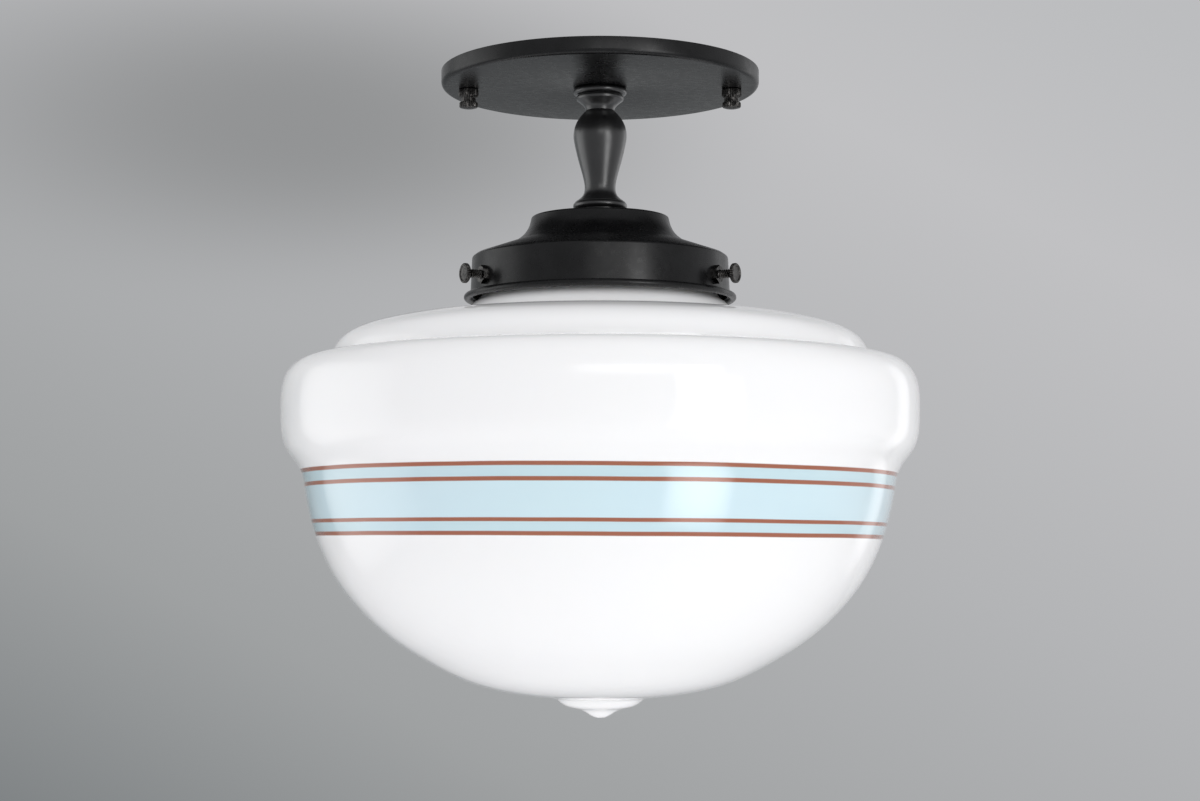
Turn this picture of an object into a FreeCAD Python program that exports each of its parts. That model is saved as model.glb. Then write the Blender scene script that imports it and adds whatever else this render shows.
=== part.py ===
"""Semi flush ceiling light with a blown opal glass shade.

Millimetres. The origin lies on the ceiling plane, on the light's own axis, and +Z points up:
the bracket's top face is at z = 0 and everything else hangs below it. The light faces -Y.
"""
import FreeCAD, Part
import os
from math import cos, pi, sin, tan, radians, hypot

V = FreeCAD.Vector
UP = V(0, 0, 1)

# ---------------------------------------------------------------- fits shared by several pieces
THREAD_SHARE = 0.6       # depth of a fine thread as a share of its pitch
THREAD_GAP = 0.05        # radial clearance of every screw thread in its tapped hole
HOLE_GAP = 0.3           # radial clearance of a pipe or stud in a plain hole
SEAT_GAP = 0.3           # clearance between the glass and what holds it
END_GAP = 0.2            # room past the end of a screw in a blind hole
WASHER_THICKNESS = 0.8

# ---------------------------------------------------------------- ceiling bracket
BAR_THICKNESS = 1.6
BAR_END_ROOM = 3.8       # between the bracket's ends and the canopy's wall
BAR_WIDTH = 20.0
BAR_END_RADIUS = 4.0
BAR_RING_DIAMETER = 46.0
BAR_MIDDLE_HOLE = 27.0
SLOT_WEB = 2.115         # metal left between a slot and the stud's hole
SLOT_LENGTH = 17.5       # end to end
SLOT_WIDTH = 4.8
STUD_EDGE_DISTANCE = 10.8   # from a stud's axis to the canopy's outer edge
STUD_DIAMETER = 4.17
STUD_LENGTH = 13.1
STUD_PITCH = 0.794
STUD_NUT_ACROSS = 7.9
STUD_NUT_HEIGHT = 2.4
EARTH_SCREW_DIAMETER = 4.8
EARTH_SCREW_PITCH = 0.794
EARTH_SCREW_REACH = 6.0  # above the bracket's underside
EARTH_HEAD_ACROSS = 7.2
EARTH_HEAD_HEIGHT = 1.9
EARTH_FLANGE_DIAMETER = 9.0
EARTH_FLANGE_HEIGHT = 0.6
EARTH_SLOT = 1.0

# ---------------------------------------------------------------- canopy and its pipe
CANOPY_DIAMETER = 127.0
CANOPY_DEPTH = 6.5
CANOPY_WALL = 1.2
CANOPY_EDGE_RADIUS = 2.0
PIPE_DIAMETER = 10.29
PIPE_BORE = 6.6
PIPE_PITCH = 0.94
PIPE_NUT_ACROSS = 14.3
PIPE_NUT_HEIGHT = 3.2
PIPE_WASHER_DIAMETER = 17.0
PIPE_WASHER_TOOTH = 1.0
PIPE_WASHER_TEETH = 16
PIPE_PAST_NUT = 4.3      # pipe end above its lock nut
RING_DIAMETER = 21.5
RING_HEIGHT = 2.4

# ---------------------------------------------------------------- stem: (radius, depth below its top)
STEM_TOP_RADIUS = 8.9
STEM_LIP = ((9.6, 1.2), (9.3, 2.1))
STEM_COVE = [(9.3, 2.1), (7.7, 3.3), (6.2, 4.9), (5.6, 6.4)]
STEM_VASE = [(5.6, 6.4), (7.8, 8.7), (9.4, 11.2), (10.65, 16.2), (10.1, 20.6), (8.9, 25.7), (7.5, 30.7),
             (6.45, 35.0), (6.2, 38.2), (6.8, 40.4), (8.3, 42.1), (10.0, 43.3)]
STEM_FOOT_RADIUS = 10.8
STEM_FOOT_HEIGHT = 3.1
STEM_BASE_RADIUS = 9.4
STEM_BASE_HEIGHT = 3.1
STEM_WIRE_WAY = 5.5      # diameter of the bore between the two tapped ends
STEM_TOP_TAP = 4.0
STEM_BOTTOM_TAP = 7.9

# ---------------------------------------------------------------- shade holder
HOLDER_WALL = 0.9
PLATE_RADIUS = 27.5
PLATE_CORNER = 0.9
HOLDER_COVE = [(27.5, 0.9), (28.1, 3.2), (30.2, 7.0), (34.2, 10.3)]   # (radius, depth below the plate)
BAND_FLARE = 0.6         # the band's foot is wider than its top by this in radius
BAND_TOP_DEPTH = 16.1
BAND_CORNER = 1.0
BAND_BOTTOM_DEPTH = 31.0
RIM_PROJECTION = 2.6     # of the rolled rim, past the foot of the band
RIM_ROLL = 1.35          # radius of the rolled rim's bead
RIM_OVERLAP = 1.1        # sheet carried into the bead

# ---------------------------------------------------------------- thumb screws of the holder
SCREW_ANGLES = (90.0, 210.0, 330.0)
SCREW_NAMES = ("rear", "left", "right")
SCREW_ABOVE_FOOT = 4.9   # screw axis above the foot of the band
SCREW_DIAMETER = 3.5
SCREW_PITCH = 0.794
SCREW_LENGTH = 12.3      # under the head
SCREW_HEAD_DIAMETER = 7.7
SCREW_HEAD_THICKNESS = 1.7
SCREW_HEAD_CHAMFER = 0.3
SCREW_FACE_DIAMETER = 6.0
SCREW_FACE_RECESS = 0.3
SCREW_TEETH = 32
SCREW_NUT_ACROSS = 6.35
SCREW_NUT_STANDOFF = 2.1

# ---------------------------------------------------------------- lamp socket and bulb
SOCKET_CAP_GAP = 1.3     # between the lock nut and the socket's cap
CAP_HUB_RADIUS = 8.5
CAP_HUB_HEIGHT = 2.4
CAP_SLOPE_HEIGHT = 2.5
CAP_RADIUS = 20.8
CAP_WALL = 1.2
CAP_TOP_WALL = 1.5
CAP_SKIRT = 6.6
SOCKET_RADIUS = 21.2
SOCKET_BODY_HEIGHT = 35.0
SOCKET_CAVITY_RADIUS = 14.4
SOCKET_ROUND = 1.0       # outer corner of the socket's mouth
SOCKET_CAVITY_DEPTH = 26.0
SOCKET_SCREW_DIAMETER = 2.2
SOCKET_SCREW_HEAD = 3.4
SOCKET_SCREW_HEAD_HEIGHT = 1.6
SHELL_SHEET = 0.4
SHELL_LENGTH = 24.6
LAMP_PITCH = 3.629
LAMP_THREAD_DEPTH = 0.65
LAMP_THREAD_GAP = 0.15   # radial, lamp base in the screw shell
BULB_BASE_RADIUS = 13.0
BULB_BASE_LENGTH = 19.0
BULB_TIP_RADIUS = 4.8
BULB_TIP_HEIGHT = 1.3
BULB_INSULATOR_HEIGHT = 3.0
BULB_WALL = 0.8
BULB_OUTLINE = [(12.2, 0.0), (14.2, 7.5), (20.5, 22.0), (28.2, 38.0), (30.0, 50.0), (28.0, 62.0),
                (21.5, 73.0), (11.5, 79.6), (0.0, 81.6)]      # (radius, depth below the base's end)
BULB_COLLAR = 1.5        # glass held inside the base
CONTACT_WIDTH = 5.0
CONTACT_SHEET = 0.5
CONTACT_DROP = 1.9

# ------------------------- glass shade: (radius past the neck, depth below the lip), finial (radius, depth)
GLASS_WALL = 3.0
NECK_RADIUS = 46.5
LIP_PROJECTION = 2.7
LIP_ROOM = 0.85          # between the lip and the inside of the holder's band
LIP_ROUND = 1.5
LIP_HEIGHT = 5.6
FINIAL_RADIUS = 20.0
GLASS_DOME = [(0.0, 10.2), (0.8, 13.6), (4.5, 17.0), (8.1, 20.6), (12.0, 22.3), (20.5, 22.9), (29.5, 23.6),
              (36.9, 24.4), (45.5, 26.3), (52.5, 28.8), (57.1, 32.4), (59.1, 36.4), (59.5, 40.2)]
GLASS_BODY = [(59.5, 40.2), (62.5, 39.3), (66.5, 39.2), (72.5, 40.7), (77.1, 45.4), (79.1, 54.2),
              (79.1, 62.5), (78.1, 71.2), (75.9, 76.0), (72.8, 80.1), (70.7, 84.2), (69.4, 90.7),
              (66.6, 103.5), (62.9, 114.0), (56.9, 125.7), (47.8, 137.3), (34.5, 149.1), (22.2, 156.9),
              (6.4, 164.8), (-10.5, 169.4)]
GLASS_FINIAL = [(FINIAL_RADIUS, 171.4), (17.6, 172.2), (15.2, 174.0), (13.0, 175.1), (9.0, 176.1),
                (6.4, 177.1), (3.9, 178.6), (1.8, 179.5), (0.0, 179.7)]

# ---------------------------------------------------------------- cap nuts of the canopy
CAP_NUT_RADIUS = 3.95
CAP_NUT_COLLAR = 3.0
CAP_NUT_WAIST_RADIUS = 2.95
CAP_NUT_WAIST = 2.3
CAP_NUT_KNOB_RADIUS = 3.7
CAP_NUT_KNOB = 2.1
CAP_NUT_DOME = 0.6
CAP_NUT_TEETH = 24
KNURL_DEPTH = 0.28


# ================================================================ drawing helpers
def smooth(points):
    """One smooth curve through the points, in the XZ plane."""
    curve = Part.BSplineCurve()
    curve.interpolate([V(r, 0, z) for r, z in points])
    return curve.toShape()


def outline(start, *moves):
    """Closed outline in the XZ plane. A move is a point (straight line), a pair of points (arc
    through the first to the second) or a list of points (smooth curve from where the outline is)."""
    edges = []
    here = start
    for move in moves + (start,):
        if isinstance(move, list):
            end = move[-1]
            edges.append(smooth([here] + move[1:]))
        elif isinstance(move[0], tuple):
            middle, end = move
            edges.append(Part.Arc(V(here[0], 0, here[1]), V(middle[0], 0, middle[1]),
                                  V(end[0], 0, end[1])).toShape())
        else:
            end = move
            if hypot(end[0] - here[0], end[1] - here[1]) > 1e-6:
                edges.append(Part.makeLine(V(here[0], 0, here[1]), V(end[0], 0, end[1])))
        here = end
    return Part.Face(Part.Wire(edges))


def turned(start, *moves):
    """Solid of revolution about Z with the given half outline."""
    return outline(start, *moves).revolve(V(0, 0, 0), UP, 360)


def corner(centre, radius, first, last):
    """Rounding about a centre between two angles in degrees, as the pair of points of an arc."""
    def at(angle):
        return (centre[0] + radius * cos(radians(angle)), centre[1] + radius * sin(radians(angle)))
    return at((first + last) / 2), at(last)


def below(top, points):
    """(radius, depth) points as (radius, height) points under the height top."""
    return [(r, top - depth) for r, depth in points]


def inset(points, wall):
    """The points moved by the wall to the inner side of an outline that runs from top to bottom."""
    moved = []
    for i, (r, z) in enumerate(points):
        before = points[max(i - 1, 0)]
        after = points[min(i + 1, len(points) - 1)]
        run, fall = after[0] - before[0], after[1] - before[1]
        length = hypot(run, fall)
        moved.append((r + wall * fall / length, z - wall * run / length))
    return moved


def disc(radius, low, high, x=0.0, y=0.0):
    return Part.makeCylinder(radius, high - low, V(x, y, low), UP)


def prism(corners, low, high):
    """Upright prism over a polygon given as (x, y) corners."""
    loop = [V(x, y, low) for x, y in corners]
    return Part.Face(Part.makePolygon(loop + loop[:1])).extrude(UP * (high - low))


def star(radius, depth, teeth):
    """Corners of a toothed circle: tips at the radius, roots deeper by depth."""
    radii = [radius - depth * (i % 2) for i in range(2 * teeth)]
    return [(r * cos(pi * i / teeth), r * sin(pi * i / teeth)) for i, r in enumerate(radii)]


def hexagon(across):
    corner_radius = across / 2 / cos(pi / 6)
    return [(corner_radius * cos(pi / 3 * i), corner_radius * sin(pi / 3 * i)) for i in range(6)]


def hex_nut(across, bore, low, high):
    """Hexagon nut with its corners chamfered at both ends."""
    corner_radius = across / 2 / cos(pi / 6)
    chamfer = (corner_radius - across / 2) * tan(radians(30))
    barrel = turned((0, low), (across / 2, low), (corner_radius, low + chamfer),
                    (corner_radius, high - chamfer), (across / 2, high), (0, high))
    return prism(hexagon(across), low, high).common(barrel).cut(disc(bore, low, high))


def threaded(radius, pitch, low, high, bore=0.0):
    """Rod or pipe with V-shaped thread grooves, its ends chamfered by half a pitch."""
    depth = THREAD_SHARE * pitch
    turns = int((high - low) / pitch)
    step = (high - low) / turns
    crests = [(radius - depth, low)]
    for i in range(turns):
        crests.append((radius, low + step * (i + 0.5)))
        crests.append((radius - depth, low + step * (i + 1)))
    return turned((bore, low), *crests, (bore, high))


def moved(shape, x=0.0, y=0.0, z=0.0):
    copy = shape.copy()
    copy.translate(V(x, y, z))
    return copy


def pair(shape, spacing):
    """Two copies, left and right of the axis."""
    return Part.makeCompound([moved(shape, -spacing / 2), moved(shape, spacing / 2)])


# ================================================================ widths that several pieces share
BAR_LENGTH = CANOPY_DIAMETER - 2 * (CANOPY_WALL + BAR_END_ROOM)
STUD_SPACING = CANOPY_DIAMETER - 2 * STUD_EDGE_DISTANCE
SLOT_SPACING = STUD_SPACING - STUD_DIAMETER - 2 * (THREAD_GAP + SLOT_WEB) - SLOT_LENGTH
EARTH_SCREW_PLACE = (BAR_MIDDLE_HOLE + BAR_RING_DIAMETER) / 4      # from the axis, towards the back
SOCKET_SPIGOT_RADIUS = CAP_RADIUS - CAP_WALL - HOLE_GAP
SOCKET_SCREW_PLACE = (SOCKET_SPIGOT_RADIUS + SOCKET_CAVITY_RADIUS) / 2
BAND_TOP_RADIUS = NECK_RADIUS + LIP_PROJECTION + LIP_ROOM + HOLDER_WALL
BAND_BOTTOM_RADIUS = BAND_TOP_RADIUS + BAND_FLARE
RIM_RADIUS = BAND_BOTTOM_RADIUS + RIM_PROJECTION

# ================================================================ heights that several pieces share
BAR_UNDERSIDE = -BAR_THICKNESS
CANOPY_FACE = -CANOPY_DEPTH
CANOPY_FLOOR = CANOPY_FACE + CANOPY_WALL
RING_FACE = CANOPY_FACE - RING_HEIGHT
STEM_FOOT_TOP = RING_FACE - STEM_VASE[-1][1]
STEM_FOOT_FACE = STEM_FOOT_TOP - STEM_FOOT_HEIGHT
PLATE_TOP = STEM_FOOT_FACE - STEM_BASE_HEIGHT
PLATE_UNDERSIDE = PLATE_TOP - HOLDER_WALL
PIPE_RADIUS = PIPE_DIAMETER / 2
UPPER_NUT_LOW = CANOPY_FLOOR + WASHER_THICKNESS
UPPER_PIPE_TOP = UPPER_NUT_LOW + PIPE_NUT_HEIGHT + PIPE_PAST_NUT
LOWER_NUT_LOW = PLATE_UNDERSIDE - WASHER_THICKNESS - PIPE_NUT_HEIGHT
CAP_TOP = LOWER_NUT_LOW - SOCKET_CAP_GAP
SOCKET_TOP = CAP_TOP - CAP_HUB_HEIGHT - CAP_SLOPE_HEIGHT - CAP_TOP_WALL
SOCKET_MOUTH = SOCKET_TOP - SOCKET_BODY_HEIGHT
SOCKET_FLOOR = SOCKET_MOUTH + SOCKET_CAVITY_DEPTH
SCREW_AXIS = PLATE_TOP - BAND_BOTTOM_DEPTH + SCREW_ABOVE_FOOT
SCREW_TIP = NECK_RADIUS + SEAT_GAP
SCREW_SHOULDER = SCREW_TIP + SCREW_LENGTH
LIP_UNDERSIDE = SCREW_AXIS + SCREW_DIAMETER / 2 + SEAT_GAP
GLASS_TOP = LIP_UNDERSIDE + LIP_HEIGHT


# ================================================================ ceiling bracket
def crossbar():
    """Strap with a round middle, two slots for the ceiling box and two tapped stud holes."""
    half, wide = BAR_LENGTH / 2, BAR_WIDTH / 2
    strap = Part.makeBox(BAR_LENGTH, BAR_WIDTH, BAR_THICKNESS, V(-half, -wide, BAR_UNDERSIDE))
    ends = [e for e in strap.Edges if abs(abs(e.CenterOfMass.x) - half) < 1e-6
            and abs(abs(e.CenterOfMass.y) - wide) < 1e-6]
    bar = strap.makeFillet(BAR_END_RADIUS, ends).fuse(disc(BAR_RING_DIAMETER / 2, BAR_UNDERSIDE, 0))
    holes = [disc(BAR_MIDDLE_HOLE / 2, BAR_UNDERSIDE, 0),
             disc(EARTH_SCREW_DIAMETER / 2 + THREAD_GAP, BAR_UNDERSIDE, 0, 0, EARTH_SCREW_PLACE)]
    straight = SLOT_LENGTH - SLOT_WIDTH
    for side in (-1, 1):
        middle = side * SLOT_SPACING / 2
        holes.append(Part.makeBox(straight, SLOT_WIDTH, BAR_THICKNESS,
                                  V(middle - straight / 2, -SLOT_WIDTH / 2, BAR_UNDERSIDE)))
        for end in (-1, 1):
            holes.append(disc(SLOT_WIDTH / 2, BAR_UNDERSIDE, 0, middle + end * straight / 2))
        holes.append(disc(STUD_DIAMETER / 2 + THREAD_GAP, BAR_UNDERSIDE, 0, side * STUD_SPACING / 2))
    for hole in holes:
        bar = bar.cut(hole)
    return bar.removeSplitter()


def canopy_studs():
    return pair(threaded(STUD_DIAMETER / 2, STUD_PITCH, -STUD_LENGTH, 0), STUD_SPACING)


def stud_lock_nuts():
    low = BAR_UNDERSIDE - STUD_NUT_HEIGHT
    nut = hex_nut(STUD_NUT_ACROSS, STUD_DIAMETER / 2 + THREAD_GAP, low, BAR_UNDERSIDE)
    return pair(nut, STUD_SPACING)


def earth_screw():
    """Hexagon head screw with a round flange under a slotted head."""
    flange_low = BAR_UNDERSIDE - EARTH_FLANGE_HEIGHT
    head_low = flange_low - EARTH_HEAD_HEIGHT
    slot = Part.makeBox(EARTH_FLANGE_DIAMETER, EARTH_SLOT, EARTH_SLOT,
                        V(-EARTH_FLANGE_DIAMETER / 2, -EARTH_SLOT / 2, head_low))
    head = prism(hexagon(EARTH_HEAD_ACROSS), head_low, flange_low).cut(slot)
    flange = disc(EARTH_FLANGE_DIAMETER / 2, flange_low, BAR_UNDERSIDE)
    shank = threaded(EARTH_SCREW_DIAMETER / 2, EARTH_SCREW_PITCH, BAR_UNDERSIDE,
                     BAR_UNDERSIDE + EARTH_SCREW_REACH)
    return moved(head.fuse(flange).fuse(shank), 0, EARTH_SCREW_PLACE)


# ================================================================ canopy, pipes and ring
def canopy():
    """Shallow pan, open at the ceiling, with a rounded lower edge."""
    outer, bend = CANOPY_DIAMETER / 2, CANOPY_EDGE_RADIUS
    inner, inner_bend = outer - CANOPY_WALL, bend - CANOPY_WALL / 2
    hole = PIPE_RADIUS + HOLE_GAP
    pan = turned((hole, CANOPY_FACE), (outer - bend, CANOPY_FACE),
                 corner((outer - bend, CANOPY_FACE + bend), bend, -90, 0), (outer, 0), (inner, 0),
                 (inner, CANOPY_FLOOR + inner_bend),
                 corner((inner - inner_bend, CANOPY_FLOOR + inner_bend), inner_bend, 0, -90),
                 (hole, CANOPY_FLOOR))
    for side in (-1, 1):
        x = side * STUD_SPACING / 2
        pan = pan.cut(disc(STUD_DIAMETER / 2 + HOLE_GAP, CANOPY_FACE, CANOPY_FLOOR, x))
    return pan


def upper_nipple():
    low = RING_FACE - STEM_TOP_TAP + END_GAP
    return threaded(PIPE_RADIUS, PIPE_PITCH, low, UPPER_PIPE_TOP, PIPE_BORE / 2)


def lower_nipple():
    low, high = SOCKET_TOP + END_GAP, PLATE_TOP + STEM_BOTTOM_TAP - END_GAP
    return threaded(PIPE_RADIUS, PIPE_PITCH, low, high, PIPE_BORE / 2)


def lock_nut(low):
    return hex_nut(PIPE_NUT_ACROSS, PIPE_RADIUS + THREAD_GAP, low, low + PIPE_NUT_HEIGHT)


def lock_washer(low):
    """Flat washer with teeth round its rim."""
    high = low + WASHER_THICKNESS
    plate = prism(star(PIPE_WASHER_DIAMETER / 2, PIPE_WASHER_TOOTH, PIPE_WASHER_TEETH), low, high)
    return plate.cut(disc(PIPE_RADIUS + THREAD_GAP, low, high))


def check_ring():
    """Ring with a full round rim between the canopy and the stem."""
    half = RING_HEIGHT / 2
    rim = RING_DIAMETER / 2 - half
    middle = RING_FACE + half
    hole = PIPE_RADIUS + THREAD_GAP
    return turned((hole, RING_FACE), (rim, RING_FACE), ((rim + half, middle), (rim, CANOPY_FACE)),
                  (hole, CANOPY_FACE))


def stem():
    """Turned spindle: a lip and cove, a vase and a round edged foot, tapped at both ends."""
    tap, way = PIPE_RADIUS + THREAD_GAP, STEM_WIRE_WAY / 2
    foot, half = STEM_FOOT_RADIUS, STEM_FOOT_HEIGHT / 2
    lip = below(RING_FACE, STEM_LIP)
    return turned((tap, RING_FACE), (STEM_TOP_RADIUS, RING_FACE), *lip, below(RING_FACE, STEM_COVE),
                  below(RING_FACE, STEM_VASE),
                  ((foot, STEM_FOOT_TOP - half), (STEM_VASE[-1][0], STEM_FOOT_FACE)),
                  (STEM_BASE_RADIUS, STEM_FOOT_FACE), (STEM_BASE_RADIUS, PLATE_TOP), (tap, PLATE_TOP),
                  (tap, PLATE_TOP + STEM_BOTTOM_TAP), (way, PLATE_TOP + STEM_BOTTOM_TAP),
                  (way, RING_FACE - STEM_TOP_TAP), (tap, RING_FACE - STEM_TOP_TAP))


# ================================================================ shade holder
def band_radius(z):
    """Outer radius of the slightly conical band at a height."""
    top = PLATE_TOP - BAND_TOP_DEPTH - BAND_CORNER
    share = (top - z) / (top - PLATE_TOP + BAND_BOTTOM_DEPTH)
    return BAND_TOP_RADIUS + (BAND_BOTTOM_RADIUS - BAND_TOP_RADIUS) * share


def holder_outside():
    """Points of the holder's outer face from the plate's edge to the foot of the band."""
    cove = below(PLATE_TOP, HOLDER_COVE)
    band_top = PLATE_TOP - BAND_TOP_DEPTH
    slope = (cove[-1][1] - band_top) / (BAND_TOP_RADIUS - cove[-1][0])
    before = (BAND_TOP_RADIUS - BAND_CORNER, band_top + slope * BAND_CORNER)
    after = (BAND_TOP_RADIUS, band_top - BAND_CORNER)
    chord = ((before[0] + after[0]) / 2, (before[1] + after[1]) / 2)
    on = ((chord[0] + BAND_TOP_RADIUS) / 2, (chord[1] + band_top) / 2)
    return cove, before, on, after


def shade_holder():
    """Spun sheet: flat plate, cove, sloping shoulder, band and a rim rolled outwards."""
    cove, before, on, after = holder_outside()
    inner_cove = inset(cove, HOLDER_WALL)[::-1]
    foot = PLATE_TOP - BAND_BOTTOM_DEPTH
    sheet_end = foot - RIM_OVERLAP
    hole = PIPE_RADIUS + HOLE_GAP
    inner_edge = PLATE_RADIUS - HOLDER_WALL
    sheet = turned((hole, PLATE_TOP), (PLATE_RADIUS - PLATE_CORNER, PLATE_TOP),
                   corner((PLATE_RADIUS - PLATE_CORNER, PLATE_TOP - PLATE_CORNER), PLATE_CORNER, 90, 0),
                   cove, before, (on, after), (BAND_BOTTOM_RADIUS, foot), (BAND_BOTTOM_RADIUS, sheet_end),
                   (BAND_BOTTOM_RADIUS - HOLDER_WALL, sheet_end), (after[0] - HOLDER_WALL, after[1]),
                   (before[0] - HOLDER_WALL / 2, before[1] - HOLDER_WALL), inner_cove[0], inner_cove,
                   (inner_edge, PLATE_UNDERSIDE - END_GAP), (inner_edge - END_GAP, PLATE_UNDERSIDE),
                   (hole, PLATE_UNDERSIDE))
    bead = Part.makeTorus(RIM_RADIUS - RIM_ROLL, RIM_ROLL, V(0, 0, foot - RIM_ROLL), UP)
    holder = sheet.fuse(bead)
    for angle in SCREW_ANGLES:
        holder = holder.cut(radial(disc(SCREW_DIAMETER / 2 + THREAD_GAP, NECK_RADIUS, SCREW_SHOULDER), angle))
    return holder


def radial(shape, angle):
    """A piece drawn along Z, laid outwards at an angle round the band, at the screws' height."""
    laid = shape.copy()
    laid.rotate(V(0, 0, 0), V(0, 1, 0), 90)
    laid.rotate(V(0, 0, 0), UP, angle)
    laid.translate(V(0, 0, SCREW_AXIS))
    return laid


def screw_nuts():
    """Three nuts seated on the band, hollowed to its curve."""
    face = band_radius(SCREW_AXIS) + SCREW_NUT_STANDOFF
    low = face - 2 * SCREW_NUT_STANDOFF
    foot, top = PLATE_TOP - BAND_BOTTOM_DEPTH, PLATE_TOP - BAND_TOP_DEPTH
    band = turned((0, foot), (band_radius(foot), foot), (band_radius(top), top), (0, top))
    nut = hex_nut(SCREW_NUT_ACROSS, SCREW_DIAMETER / 2 + THREAD_GAP, low, face)
    return Part.makeCompound([radial(nut, angle).cut(band) for angle in SCREW_ANGLES])


def screw_shank(angle):
    return radial(threaded(SCREW_DIAMETER / 2, SCREW_PITCH, SCREW_TIP, SCREW_SHOULDER), angle)


def screw_head(angle):
    """Round head with a knurled edge, chamfers and a shallow recess in its face."""
    radius, low, high = SCREW_HEAD_DIAMETER / 2, SCREW_SHOULDER, SCREW_SHOULDER + SCREW_HEAD_THICKNESS
    chamfer, face = SCREW_HEAD_CHAMFER, SCREW_FACE_DIAMETER / 2
    blank = turned((0, low), (radius - chamfer, low), (radius, low + chamfer), (radius, high - chamfer),
                   (radius - chamfer, high), (face, high), (face - chamfer, high - SCREW_FACE_RECESS),
                   (0, high - SCREW_FACE_RECESS))
    return radial(blank.common(prism(star(radius, KNURL_DEPTH, SCREW_TEETH), low, high)), angle)


# ================================================================ lamp socket
def socket_cap():
    """Turned cap on the pipe, with a skirt round the socket's body."""
    skirt_low = SOCKET_TOP - CAP_SKIRT
    slope_top, slope_low = CAP_TOP - CAP_HUB_HEIGHT, CAP_TOP - CAP_HUB_HEIGHT - CAP_SLOPE_HEIGHT
    tap = PIPE_RADIUS + THREAD_GAP
    cap = turned((tap, CAP_TOP), (CAP_HUB_RADIUS, CAP_TOP), (CAP_HUB_RADIUS, slope_top),
                 (CAP_RADIUS - CAP_WALL, slope_low), (CAP_RADIUS, slope_low - CAP_WALL),
                 (CAP_RADIUS, skirt_low), (CAP_RADIUS - CAP_WALL, skirt_low),
                 (CAP_RADIUS - CAP_WALL, SOCKET_TOP), (tap, SOCKET_TOP))
    for side in (-1, 1):
        cap = cap.cut(disc(SOCKET_SCREW_DIAMETER / 2 + THREAD_GAP, SOCKET_TOP, SOCKET_TOP + CAP_TOP_WALL,
                           side * SOCKET_SCREW_PLACE))
    return cap


def socket_body():
    """Porcelain cup with a narrower top that fits the cap, and two through holes for its screws."""
    skirt_low = SOCKET_TOP - CAP_SKIRT
    spigot, bend = SOCKET_SPIGOT_RADIUS, SOCKET_ROUND
    body = turned((0, SOCKET_TOP), (spigot, SOCKET_TOP), (spigot, skirt_low), (SOCKET_RADIUS, skirt_low),
                  (SOCKET_RADIUS, SOCKET_MOUTH + bend),
                  corner((SOCKET_RADIUS - bend, SOCKET_MOUTH + bend), bend, 0, -90),
                  (SOCKET_CAVITY_RADIUS, SOCKET_MOUTH), (SOCKET_CAVITY_RADIUS, SOCKET_FLOOR),
                  (0, SOCKET_FLOOR))
    for side in (-1, 1):
        x = side * SOCKET_SCREW_PLACE
        body = body.cut(disc(SOCKET_SCREW_DIAMETER / 2 + THREAD_GAP, SOCKET_MOUTH, SOCKET_TOP, x))
        body = body.cut(disc(SOCKET_SCREW_HEAD / 2 + THREAD_GAP, SOCKET_MOUTH,
                             SOCKET_MOUTH + SOCKET_SCREW_HEAD_HEIGHT + END_GAP, x))
    return body


def socket_screws():
    seat = SOCKET_MOUTH + SOCKET_SCREW_HEAD_HEIGHT + END_GAP
    head = disc(SOCKET_SCREW_HEAD / 2, SOCKET_MOUTH + END_GAP, seat)
    slot = Part.makeBox(SOCKET_SCREW_HEAD, EARTH_SLOT, EARTH_SLOT,
                        V(-SOCKET_SCREW_HEAD / 2, -EARTH_SLOT / 2, SOCKET_MOUTH + END_GAP))
    shank = disc(SOCKET_SCREW_DIAMETER / 2, seat, SOCKET_TOP + CAP_TOP_WALL - END_GAP)
    return pair(head.cut(slot).fuse(shank), 2 * SOCKET_SCREW_PLACE)


def round_thread(radius, depth, pitch, low, high):
    """Points of a rolled lamp thread from high to low: (arc through, arc end) pairs that swing
    between the radius and the radius less the depth."""
    waves = max(int((high - low) / pitch), 1)
    step = (high - low) / waves / 2
    pairs = []
    for i in range(2 * waves):
        start, swing = high - step * i, depth / 2 if i % 2 == 0 else -depth / 2
        pairs.append(((radius - depth / 2 + swing, start - step / 2), (radius - depth / 2, start - step)))
    return pairs


def screw_shell():
    """Threaded brass shell with a flange against the floor of the socket."""
    crest = BULB_BASE_RADIUS + LAMP_THREAD_GAP
    root = SOCKET_CAVITY_RADIUS - THREAD_GAP - SHELL_SHEET
    flange = SOCKET_FLOOR - SHELL_SHEET
    high, low = flange - SHELL_SHEET, SOCKET_FLOOR - SHELL_LENGTH
    depth, middle = root - crest, (root + crest) / 2
    wave = round_thread(root, depth, LAMP_PITCH, low, high)
    outside = turned((0, SOCKET_FLOOR), (middle + SHELL_SHEET, SOCKET_FLOOR), (middle + SHELL_SHEET, high),
                     *[((m[0] + SHELL_SHEET, m[1]), (e[0] + SHELL_SHEET, e[1])) for m, e in wave], (0, low))
    inside = turned((0, flange), (middle, flange), (middle, high), *wave, (0, low))
    return outside.cut(inside).cut(disc(SOCKET_CAVITY_RADIUS / 2, flange, SOCKET_FLOOR))


def centre_contact():
    """Riveted disc with a springy tongue that reaches down to the bulb's tip."""
    half, sheet, drop = CONTACT_WIDTH / 2, CONTACT_SHEET, CONTACT_DROP
    base = disc(half, SOCKET_FLOOR - sheet, SOCKET_FLOOR, -half)
    side = [(-half, 0), (-half, -sheet), (half / 2, -drop), (half, -drop), (half, sheet - drop),
            (half / 2, sheet - drop)]
    loop = [V(x, -half, SOCKET_FLOOR + z) for x, z in side]
    tongue = Part.Face(Part.makePolygon(loop + loop[:1])).extrude(V(0, CONTACT_WIDTH, 0))
    return base.fuse(tongue).removeSplitter()


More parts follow.
